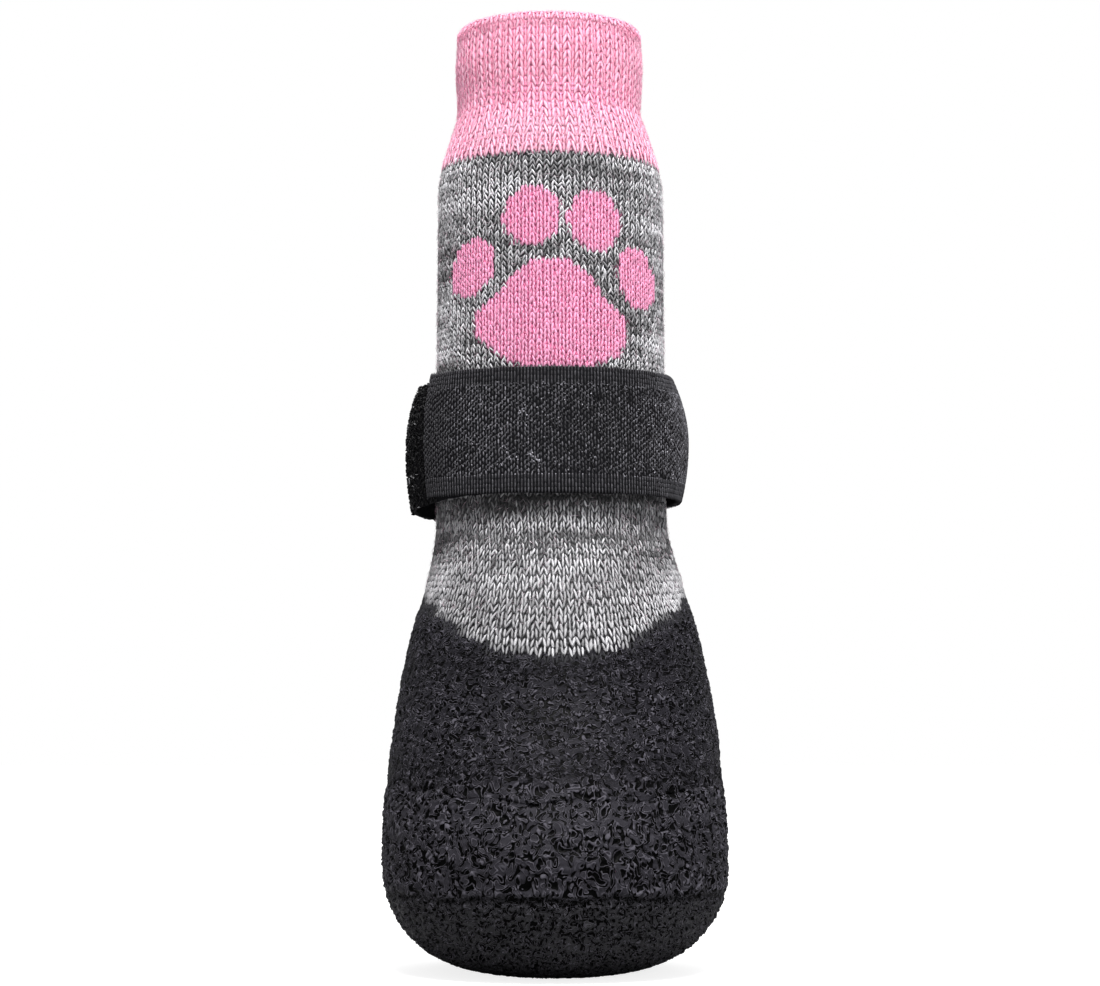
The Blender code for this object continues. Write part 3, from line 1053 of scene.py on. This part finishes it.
def gradient_noise(points, seed):
    """Smooth noise between about -1 and 1, at points given in cells."""
    rng = np.random.default_rng(seed)
    order = rng.permutation(256)
    slopes = unit(rng.standard_normal((256, 3)))
    cell = np.floor(points).astype(np.int64)
    part = points - cell
    blend = part**3 * (part * (part * 6 - 15) + 10)
    total = np.zeros(points.shape[:-1])
    for corner in np.ndindex(2, 2, 2):
        step = np.array(corner)
        at = cell + step
        pick = order[(order[(order[at[..., 0] & 255] + at[..., 1]) & 255] + at[..., 2]) & 255]
        weight = np.prod(np.where(step == 1, blend, 1 - blend), axis=-1)
        total += weight * np.sum(slopes[pick] * (part - step), axis=-1)
    return total * 1.5


def crumple_field(place, scale, sway, shift):
    """Crumpled skin: below 0 in the short gaps between its folds, up to 1 on the thin lips that
    wind round them, 0 on the flats."""
    where = move("MULTIPLY", move("ADD", place, (shift,) * 3), scale)
    swirl = noise(where, 0.45, 0.0, 0.5, output=1)
    swirl = move("SCALE", move("SUBTRACT", swirl, (0.5, 0.5, 0.5)), sway)
    where = move("ADD", where, swirl)
    fold = noise(where, 1.0, 0.0, 0.45)
    off = calculate("ABSOLUTE", calculate("SUBTRACT", fold, 0.5))
    apart = move("ADD", where, (11.0, 5.0, 3.0))
    strong = limit(noise(apart, 0.7, 0.0, 0.5), 0.38, 0.60, 0.35, 1.0)
    broken = limit(noise(where, 1.15, 0.0, 0.5, output=1), 0.47, 0.54)
    beside = calculate("ABSOLUTE", calculate("SUBTRACT", off, 0.115))
    lip = calculate("MULTIPLY", limit(beside, 0.055, 0.015), strong)
    gap = calculate("MULTIPLY", limit(off, 0.100, 0.060), broken)
    gap = calculate("MAXIMUM", gap, limit(fold, 0.345, 0.315))
    return calculate("SUBTRACT", lip, gap)


def crumple(place):
    """The skin's creasing at a place in millimetres, and the place's height: fine and level under
    the strap, then wider and wilder down to the toe and heel, and finest underneath."""
    height = split(place)[2]
    total = crumple_field(place, *INSTEP_CREASES, 3.0)
    for row, (begins, full, scale, sway) in enumerate(CREASE_BANDS):
        share = limit(height, begins, full)
        rest = calculate("MULTIPLY", total, calculate("SUBTRACT", 1.0, share))
        field = crumple_field(place, scale, sway, 40.0 * (row + 1))
        total = calculate("MULTIPLY_ADD", field, share, rest)
    return total, height


def crumple_tree():
    """Geometry Nodes that crease the skin along its normals."""
    tree, given, result = new_group("GeometryNodeTree", "crumpled_skin", {
        "Skin": "Geometry",
        "Crease depth above": "Float",
        "Crease depth below": "Float",
        "Rubber": "Material",
    }, ("Skin", "Geometry"))
    creases, height = crumple(named_attribute(tree, "form_place"))
    depth = limit(height, 32.0, 44.0, given["Crease depth below"], given["Crease depth above"])
    lift = calculate("MULTIPLY", creases, depth)
    lift = calculate("MULTIPLY", lift, named_attribute(tree, "crease_share", "FLOAT"))
    place = new_node(tree, "GeometryNodeSetPosition")
    feed_all(place, {
        "Geometry": given["Skin"],
        "Offset": move("SCALE", new_node(tree, "GeometryNodeInputNormal").outputs[0], lift),
    })
    feed(result[0], dress(place.outputs[0], given["Rubber"]))
    return tree


def rubber_surface(rows):
    """The outside of the rubber over some rows, with the share of the creases that each point takes."""
    angles = 360 * np.arange(RUBBER_COLUMNS) / RUBBER_COLUMNS
    angle_grid, base = np.meshgrid(angles, rows)
    turn = np.radians(angle_grid)
    round_way = np.stack([np.sin(turn) * 6, np.cos(turn) * 6, np.zeros_like(turn)], -1)
    fold_wave = 1.6 * gradient_noise(round_way * 0.6, 71) * np.clip(1 - np.abs(base - FOLD_ROW) / 14, 0, 1)
    ragged = 0.8 * gradient_noise(round_way, 72) + 0.6 * gradient_noise(round_way * 4, 73)
    near_edge = ramp(base, DIP_ROW - 8, DIP_ROW)
    heights = bend(base, angle_grid) + fold_wave + ragged * near_edge
    points = form(heights, angle_grid)
    front = np.clip(np.cos(turn) * 1.6, 0, 1)
    patchy = np.clip(0.5 + gradient_noise(round_way * 1.1, 75), 0, 1)
    fold = ridge(base - FOLD_ROW, 0.7) * (0.25 + 0.75 * front * patchy)
    lip = ridge(base - FOLD_ROW + 1.5, 1.0) * front * patchy
    seam_row = SEAM_ROW + 0.8 * gradient_noise(round_way * 0.8, 74)
    seam = ridge(base - seam_row, 0.45) * front
    seam_lip = ridge(base - seam_row - 1.2, 0.9) * front
    mounds = gradient_noise(points * np.array((0.13, 0.13, 0.18)), 69)
    height = MOUND_HEIGHT * mounds - FOLD_DEPTH * fold + LIP_HEIGHT * lip
    height = height - SEAM_DEPTH * seam + LIP_HEIGHT * seam_lip
    edge = ramp(base, DIP_ROW - TURNED_EDGE, DIP_ROW)
    height = height * (1 - 0.5 * edge) - EDGE_DEPTH * edge**1.5
    floor_share = ramp(base, 0, 4)
    points = push_out(points, height * floor_share)
    # The fold and seam are also marked for the material, which paints shade in their grooves and highlight
    # on their lips.
    broken = np.clip(0.5 + 1.3 * gradient_noise(round_way * 2.2, 76), 0.1, 1)
    lines = broken * (0.5 * seam_lip + 0.3 * lip - 0.9 * seam - 0.6 * fold)
    return points, (0.35 + 0.65 * (1 - edge)) * (0.25 + 0.75 * floor_share), lines


def shell_piece(name, outside, share, lines, wall, open_below):
    """A closed skin: its outside, a turned-in edge above, its inside, and its foot or lower edge."""
    inside_rows = np.unique(np.linspace(0, len(outside) - 1, INSIDE_ROWS).astype(int))[::-1]
    inside = push_out(outside, -wall)[inside_rows]
    if not open_below:
        inside[..., 2] = np.maximum(inside[..., 2], INSIDE_FLOOR)
    shell = np.concatenate([outside, inside])
    points = shell.reshape(-1, 3)
    faces = grid_faces(len(shell), RUBBER_COLUMNS, True).tolist()
    last = len(points) - RUBBER_COLUMNS
    if open_below:
        here = np.arange(RUBBER_COLUMNS)
        after = (here + 1) % RUBBER_COLUMNS
        faces += np.stack([last + here, last + after, after, here], -1).tolist()
    else:
        faces += fan_faces(0, RUBBER_COLUMNS, len(points), True)
        faces += fan_faces(last, RUBBER_COLUMNS, len(points) + 1, False)
        points = np.concatenate([points, [(*bottom, 0.0), (*bottom, INSIDE_FLOOR)]])
    mesh = make_mesh(name, points, faces)
    for field, values in (("crease_share", share), ("fold_lines", lines)):
        hidden = np.zeros(len(points) - values.size)
        store(mesh, field, "FLOAT", np.concatenate([values.ravel(), hidden]))
    store(mesh, "form_place", "FLOAT_VECTOR", points)
    return add_object(name, mesh)


rubber_material, rubber_tree, rubber_shader = new_material("black_dipped_rubber")
rubber_place = read_attribute(rubber_tree, "form_place", "Vector")
creases, skin_height = crumple(rubber_place)
creases = calculate("ADD", creases, read_attribute(rubber_tree, "fold_lines", "Fac"))
cloud = noise(rubber_place, 0.05, 3.0, 0.6)
grain = noise(rubber_place, 3.2, 2.0, 0.6)
skin = mix_rgb("MIX", limit(skin_height, 12.0, 18.0), UNDER_SKIN, TOE_SKIN)
skin = mix_rgb("MIX", limit(skin_height, 30.0, 42.0), skin, INSTEP_SKIN)
skin = mix_rgb("MULTIPLY", 1.0, skin, calculate("MULTIPLY_ADD", cloud, 0.5, 0.75))
skin = mix_rgb("MULTIPLY", 1.0, skin, calculate("MULTIPLY_ADD", grain, 0.8, 0.6))
# Painted shade and highlight: the creases' gaps are painted near black and their lips paler, over their
# real depth and bump.
skin = mix_rgb("MIX", limit(creases, 0.0, -0.55), skin, GAP_SHADE_SKIN)
skin = mix_rgb("MIX", limit(creases, 0.1, 0.9, 0.0, 0.62), skin, LIP_HIGHLIGHT_SKIN)
feed_all(rubber_shader, {
    "Base Color": skin,
    "Roughness": calculate("MULTIPLY_ADD", cloud, 0.25, 0.33),
    "Specular IOR Level": 0.035,
    "Sheen Weight": 0.015,
    "Sheen Roughness": 0.30,
})
add_bump(rubber_shader, creases, 0.26 * MM, 1.0)
add_bump(rubber_shader, grain, 0.05 * MM, 0.6)

lower_rows = np.concatenate([
    round_heights(64),
    np.arange(ROUND_HEIGHT + RUBBER_ROW, FOLD_ROW - 0.1, RUBBER_ROW),
    [FOLD_ROW],
])
upper_rows = np.concatenate([np.arange(FOLD_ROW + 0.3, DIP_ROW - 0.1, RUBBER_ROW), [DIP_ROW]])
rubber_points, rubber_share, rubber_lines = rubber_surface(np.concatenate([lower_rows, upper_rows]))
lower_part = slice(None, len(lower_rows))
upper_part = slice(len(lower_rows) - 1, None)
sole_middle = np.array((*bottom, 0.0))
sole_shares = np.linspace(SOLE_HOLE, 1.0, SOLE_RINGS)[:-1, None, None]
sole_points = sole_middle + (rubber_points[0] - sole_middle) * sole_shares
sole_marks = np.zeros(sole_points.shape[:2])
crumpled_skin = crumple_tree()
for name, outside, share, lines, open_below in (
    (
        "rubber_sole_and_toe",
        np.concatenate([sole_points, rubber_points[lower_part]]),
        np.concatenate([sole_marks, rubber_share[lower_part]]),
        np.concatenate([sole_marks, rubber_lines[lower_part]]),
        False,
    ),
    (
        "rubber_instep_and_heel",
        rubber_points[upper_part],
        rubber_share[upper_part],
        rubber_lines[upper_part],
        True,
    ),
):
    rubber = apply_nodes(
        shell_piece(name, outside, share, lines, RUBBER_WALL, open_below),
        crumpled_skin,
        {
            "Crease depth above": CREASE_DEPTH_ABOVE,
            "Crease depth below": CREASE_DEPTH_BELOW,
            "Rubber": rubber_material,
        },
    )
    for vertex in rubber.data.vertices:
        vertex.co.z = max(vertex.co.z, 0.0)
    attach(rubber, "root")
    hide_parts("rubber_sole")

# ---------------------------------------------------------------------------------------------
# The strap's loop tape: 25 mm tape with a soft black pile outwards, sewn on at the centre back
# and led round the left side and across the front, where the hook tape is pressed on it.
STRAP_BOTTOM = 93.2
STRAP_TOP = 118.2
BOTTOM_CURL = 0.55
HOOK_THICK = 1.2
TAPE_STEP = 1.5
TAPE_EDGE = 0.02
TAPE_ROWS = 13
PILE_ANGLES = np.arange(-194.5, -60.0, 1.55)
PILE_ROWS = 36
PILE_GLINT_TONE = 0.55
UNGLINTED_PILE_SHARE = 0.985
LOOP_BAND = 0.75
TAPE_DARK = (0.003, 0.003, 0.0035)
TAPE_PALE = (0.010, 0.010, 0.012)
LOOP_PATH = np.array((
    # angle, stand-off, droop, how far the top edge curls in
    (-195.0, 0.4, 0.0, 0.0),
    (-172.0, 0.4, 0.8, 0.0),
    (-140.0, 1.3, 2.6, 0.5),
    (-110.0, 4.0, 2.6, 1.6),
    (-90.0, 5.1, 2.1, 2.2),
    (-63.0, 2.5, 0.8, 1.6),
    (-35.0, 0.6, 0.0, 0.2),
    (0.0, 0.4, 0.0, 0.0),
    (30.0, 0.4, 0.0, 0.0),
))
HOOK_PATH = np.array((
    (-63.0, 4.0, 0.0, 1.5),
    (-35.0, 2.3, 0.0, 0.1),
    (0.0, 2.1, 0.0, 0.0),
    (33.0, 2.15, 0.0, 0.0),
    (65.0, 2.9, 0.0, 1.6),
    (90.0, 3.5, 0.0, 3.1),
    (115.0, 2.8, 0.3, 2.3),
    (140.0, 2.1, 0.5, 0.8),
    (165.0, 2.1, 0.3, 0.0),
    (195.0, 2.1, 0.0, 0.0),
))


def tape_point(path, angle, share, depth):
    """A point of a tape: share goes up its width, depth goes out from its inner face."""
    stand_off = curve_through(angle, path[:, 0], path[:, 1])
    droop = curve_through(angle, path[:, 0], path[:, 2])
    curl = curve_through(angle, path[:, 0], path[:, 3])
    side = 2 * share - 1
    outward = stand_off + depth - curl * np.where(side > 0, 1.0, BOTTOM_CURL) * side * side
    return form(STRAP_BOTTOM + (STRAP_TOP - STRAP_BOTTOM) * share - droop, angle, outward)


def tape_body(name, path, inner, outer, uneven, seed):
    """The tape's own closed band, with rounded edges and slightly uneven selvedges."""
    begin, end = path[[0, -1], 0]
    angles = np.linspace(begin, end, int((end - begin) / TAPE_STEP) + 1)
    middle = (inner + outer) / 2
    half = (outer - inner) / 2
    loop = []
    for face, shares, edge, way in (
        (outer, np.linspace(TAPE_EDGE, 1 - TAPE_EDGE, TAPE_ROWS), 1 - TAPE_EDGE, 1),
        (inner, np.linspace(1 - TAPE_EDGE, TAPE_EDGE, TAPE_ROWS), TAPE_EDGE, -1),
    ):
        loop += [(share, face) for share in shares]
        for turn in np.radians((50, 0, -50)):
            beyond = way * TAPE_EDGE * math.cos(turn)
            loop.append((edge + beyond, middle + way * half * math.sin(turn)))
    loop = np.array(loop)
    knots = np.arange(0, len(angles) + 6, 3)
    wave = np.random.default_rng(seed).normal(0, uneven, len(knots))
    wave = np.interp(np.arange(len(angles)), knots, wave)
    rows = [tape_point(path, angles, share, depth) for share, depth in loop]
    points = np.array(rows)
    points[..., 2] += wave[None, :] * np.abs(2 * loop[:, :1] - 1)
    points = points.transpose(1, 0, 2)
    count = len(loop)
    faces = grid_faces(len(angles), count, True)[:, ::-1].tolist()
    last = (len(angles) - 1) * count
    faces.append(list(range(count)))
    faces.append([last + index for index in range(count)][::-1])
    return add_object(name, make_mesh(name, points, faces))


def face_axes(path, angle, share, depth):
    """Place and directions on a tape."""
    def at(share, angle):
        return tape_point(path, angle, share, depth)

    return at(share, angle), *directions(at, share, angle, 0.02)


tape_material, tape_tree, tape_shader = new_material("black_tape_ground")
tape_grain = noise(coordinates(tape_tree, "Object"), 1800.0, 2.0, 0.6)
feed_all(tape_shader, {
    "Base Color": mix_rgb("MIX", tape_grain, TAPE_DARK, TAPE_PALE),
    "Roughness": 0.85,
    "Specular IOR Level": 0.05,
})
add_bump(tape_shader, tape_grain, 0.10 * MM, 0.8)

loop_body = tape_body("loop_tape_band", LOOP_PATH, 0.0, LOOP_BAND, 0.08, 81)
loop_body.data.materials.append(tape_material)
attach(loop_body, "root")
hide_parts("strap_loop_tape")

pile_angles, pile_shares = np.meshgrid(PILE_ANGLES, np.linspace(0.015, 0.985, PILE_ROWS))
pile_count = pile_angles.size
pile_dice = np.random.default_rng(82)
pile_angle = pile_angles.ravel() + pile_dice.normal(0, 0.5, pile_count)
pile_share = np.clip(pile_shares.ravel() + pile_dice.normal(0, 0.010, pile_count), 0.0, 1.0)
place, side, up, out = face_axes(LOOP_PATH, pile_angle, pile_share, LOOP_BAND + 0.2)
heading = pile_dice.uniform(0, math.tau, pile_count)
pile_along = side * np.cos(heading)[:, None] + up * np.sin(heading)[:, None]
pile_along = unit(pile_along + out * pile_dice.normal(0, 0.25, pile_count)[:, None])
pile_tone = np.clip(pile_dice.normal(0.13, 0.05, pile_count), 0.05, 0.4)
# Painted glints: a few loops are painted pale.
pile_tone = np.where(pile_dice.uniform(0, 1, pile_count) > UNGLINTED_PILE_SHARE, PILE_GLINT_TONE, pile_tone)
pile_tone = from_srgb(pile_tone)[:, None]
pile_loop = spindle("pile_loop", 3, 3, 0.55)
pile_material = yarn_material("black_loop_pile", 0.5, (0.6, 0.6, 0.6))
pile_size = np.stack([
    np.ones(pile_count),
    pile_dice.uniform(0.8, 1.3, pile_count),
    pile_dice.uniform(0.7, 1.25, pile_count),
], -1)
pile_parts = {}
gather(pile_parts, place, pile_along, out, pile_size, pile_tone * np.array((1.0, 0.99, 1.04)))
pile = lay_strands(
    "loop_tape_pile",
    pile_parts,
    pile_loop,
    pile_material,
    sizes=(0.22, 0.55, 1.15),
    unevenness=0.15,
    seed=83,
)
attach(pile, "root")
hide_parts("strap_loop_tape")

# ---------------------------------------------------------------------------------------------
# The strap's hook tape: 25 mm black woven tape, hooks inwards, from the centre back round the
# right side and across the front to its cut end on the left. Its field is a fine staggered weave
# of shiny filament, between selvedges of close upright ribs.
WEAVE_COLUMN = 0.67
WEAVE_ROW = 1.05
RIB_ROW = 0.90
SELVEDGE = 3.6
TAPE_WIDTH = STRAP_TOP - STRAP_BOTTOM
UNCROSSED_SHARE = 0.4
UNGLINTED_SHARE = 0.78
UNGLINTED_EDGE_SHARE = 0.35
SPOT_STRANDS = 5
SMOOTH_END = (-44.0, -52.0)
FILAMENT_GREY = np.array((1.0, 0.985, 1.10))
STRAY_SPOTS = (
    # angle, share of the width: where hooks have been pulled through, with painted glints
    (-9.0, 0.30), (-12.0, 0.64), (-17.0, 0.28), (-5.0, 0.25),
)

hook_body = tape_body("hook_tape_band", HOOK_PATH, 0.0, HOOK_THICK - 0.18, 0.06, 84)
hook_body.data.materials.append(tape_material)
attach(hook_body, "root")
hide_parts("strap_hook_tape")

walk_angles = np.linspace(HOOK_PATH[0, 0], HOOK_PATH[-1, 0], 600)
walk = tape_point(HOOK_PATH, walk_angles, 0.5, HOOK_THICK)
walked = np.concatenate([[0.0], np.cumsum(np.linalg.norm(np.diff(walk, axis=0), axis=-1))])
weave_columns = np.arange(0.3, walked[-1] - 0.2, WEAVE_COLUMN)
weave_dice = np.random.default_rng(85)
weave_parts = {}


def keep_weave(walk_place, rise, heading, length, tone):
    """Keeps short filaments at places along and across the tape, turned from upright by a heading."""
    grids = np.broadcast_arrays(walk_place, rise, heading, tone)
    walk_place, rise, heading, tone = (grid.ravel() for grid in grids)
    angle = np.interp(walk_place, walked, walk_angles)
    place, side, up, out = face_axes(HOOK_PATH, angle, rise / TAPE_WIDTH, HOOK_THICK - 0.14)
    smooth = ramp(angle, *SMOOTH_END)
    tone = tone + (0.20 - tone) * smooth * 0.8
    width = 1 + 0.4 * smooth
    along = up * np.cos(heading)[:, None] + side * np.sin(heading)[:, None]
    size = np.stack([width, np.ones_like(width), np.full_like(width, length)], -1)
    tint = from_srgb(np.clip(tone, 0.06, 0.85))[:, None] * FILAMENT_GREY
    gather(weave_parts, place, along, out, size, tint)


rib_places, rib_rises = np.meshgrid(weave_columns, np.arange(0.45, SELVEDGE, RIB_ROW))
rib_rises = rib_rises + weave_dice.uniform(-0.2, 0.2, rib_rises.shape) * (rib_rises > 1)
rib_chart_tone = 0.25 + weave_dice.normal(0, 0.03, rib_places.shape)
keep_weave(rib_places, rib_rises, 0.0, 1.6, rib_chart_tone)
keep_weave(rib_places, TAPE_WIDTH - rib_rises, 0.0, 1.6, rib_chart_tone)
field_columns, field_rows = np.meshgrid(
    np.arange(len(weave_columns)), np.arange(int((TAPE_WIDTH - 2 * SELVEDGE) / WEAVE_ROW) + 1)
)
field_chart = field_rows.shape
wave = 0.07 * smooth_chart(field_chart, (1.0, 1.0), 87)
field_tone = 0.285 + 0.025 * smooth_chart(field_chart, (3.0, 6.0), 88)
field_rise = SELVEDGE + (field_rows + 0.3 + 0.5 * (field_columns % 2)) * WEAVE_ROW
field_rise = field_rise + 0.20 * smooth_chart(field_chart, (1.0, 0.8), 89)
upright = weave_columns[field_columns] + wave
upright_tone = field_tone + weave_dice.normal(0, 0.07, field_chart)
keep_weave(upright, field_rise, weave_dice.normal(0, 0.10, field_chart), 1.2, upright_tone)
crossed = weave_dice.uniform(0, 1, field_chart) > UNCROSSED_SHARE
keep_weave(
    (upright + 0.5 * WEAVE_COLUMN)[crossed],
    (field_rise + 0.45 * WEAVE_ROW + 0.1 * wave)[crossed],
    math.pi / 2 + weave_dice.normal(0, 0.2, crossed.sum()),
    0.55,
    field_tone[crossed] + weave_dice.normal(0, 0.06, crossed.sum()),
)
# Painted glints: a share of the crossings get short pale filaments.
glint_walks = upright[crossed] + weave_dice.normal(0, 0.1, crossed.sum())
glinting = weave_dice.uniform(0, 1, crossed.sum()) > UNGLINTED_SHARE
glint_count = glinting.sum()
keep_weave(
    glint_walks[glinting],
    field_rise[crossed][glinting] + weave_dice.normal(0, 0.3, glint_count),
    weave_dice.uniform(-1.3, 1.3, glint_count),
    0.35,
    weave_dice.uniform(0.48, 0.72, glint_count),
)
# Painted glints along the inner edge of each selvedge.
for rise in (SELVEDGE - 0.1, TAPE_WIDTH - SELVEDGE + 0.1):
    shown = weave_columns[weave_dice.uniform(0, 1, len(weave_columns)) > UNGLINTED_EDGE_SHARE]
    shown_tone = weave_dice.uniform(0.34, 0.60, len(shown))
    keep_weave(shown, rise, weave_dice.uniform(0.9, 2.2, len(shown)), 0.40, shown_tone)
for spot_angle, spot_share in STRAY_SPOTS:
    spot_walk = np.interp(spot_angle, walk_angles, walked)
    keep_weave(
        spot_walk + weave_dice.normal(0, 0.5, SPOT_STRANDS),
        spot_share * TAPE_WIDTH + weave_dice.normal(0, 0.4, SPOT_STRANDS),
        weave_dice.uniform(-1.2, 1.2, SPOT_STRANDS),
        0.45,
        0.68,
    )
weave_grain = spindle("weave_grain", 2, 4, 0.14)
filament = yarn_material("black_filament", 0.4, (0.6, 0.6, 0.6), 0.45, 0.14)
weave = lay_strands(
    "hook_tape_weave",
    weave_parts,
    weave_grain,
    filament,
    sizes=(0.36, 0.42, 1.00),
    unevenness=0.05,
    seed=86,
)
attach(weave, "root")
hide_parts("strap_hook_tape")

# ---------------------------------------------------------------------------------------------
# The strap's sewing: two upright rows of strong black thread at the centre back, through both
# tapes and the sock.
SEAM_ANGLES = (171.0, 190.0)
SEAM_STITCH = 2.7
seam_angles, seam_rises = np.meshgrid(SEAM_ANGLES, np.arange(1.8, TAPE_WIDTH - 1.0, SEAM_STITCH))
seam_place, side, up, out = face_axes(
    HOOK_PATH, seam_angles, seam_rises / TAPE_WIDTH, HOOK_THICK + 0.08
)
seam_parts = {}
gather(seam_parts, seam_place, up, out, np.ones(up.shape), np.full(up.shape, 0.075))
seam_thread = lay_strands(
    "strap_seam_thread",
    seam_parts,
    rib_grain,
    filament,
    sizes=(0.60, 0.50, 1.90),
    unevenness=0.05,
    seed=91,
)
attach(seam_thread, "root")
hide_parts("strap_hook_tape")

# ---------------------------------------------------------------------------------------------
# Done: the strands' own patterns are removed.
for pattern in (yarn_grain, stray_fibre, rib_grain, pile_loop, weave_grain):
    bpy.data.objects.remove(pattern)

bpy.context.view_layer.update()
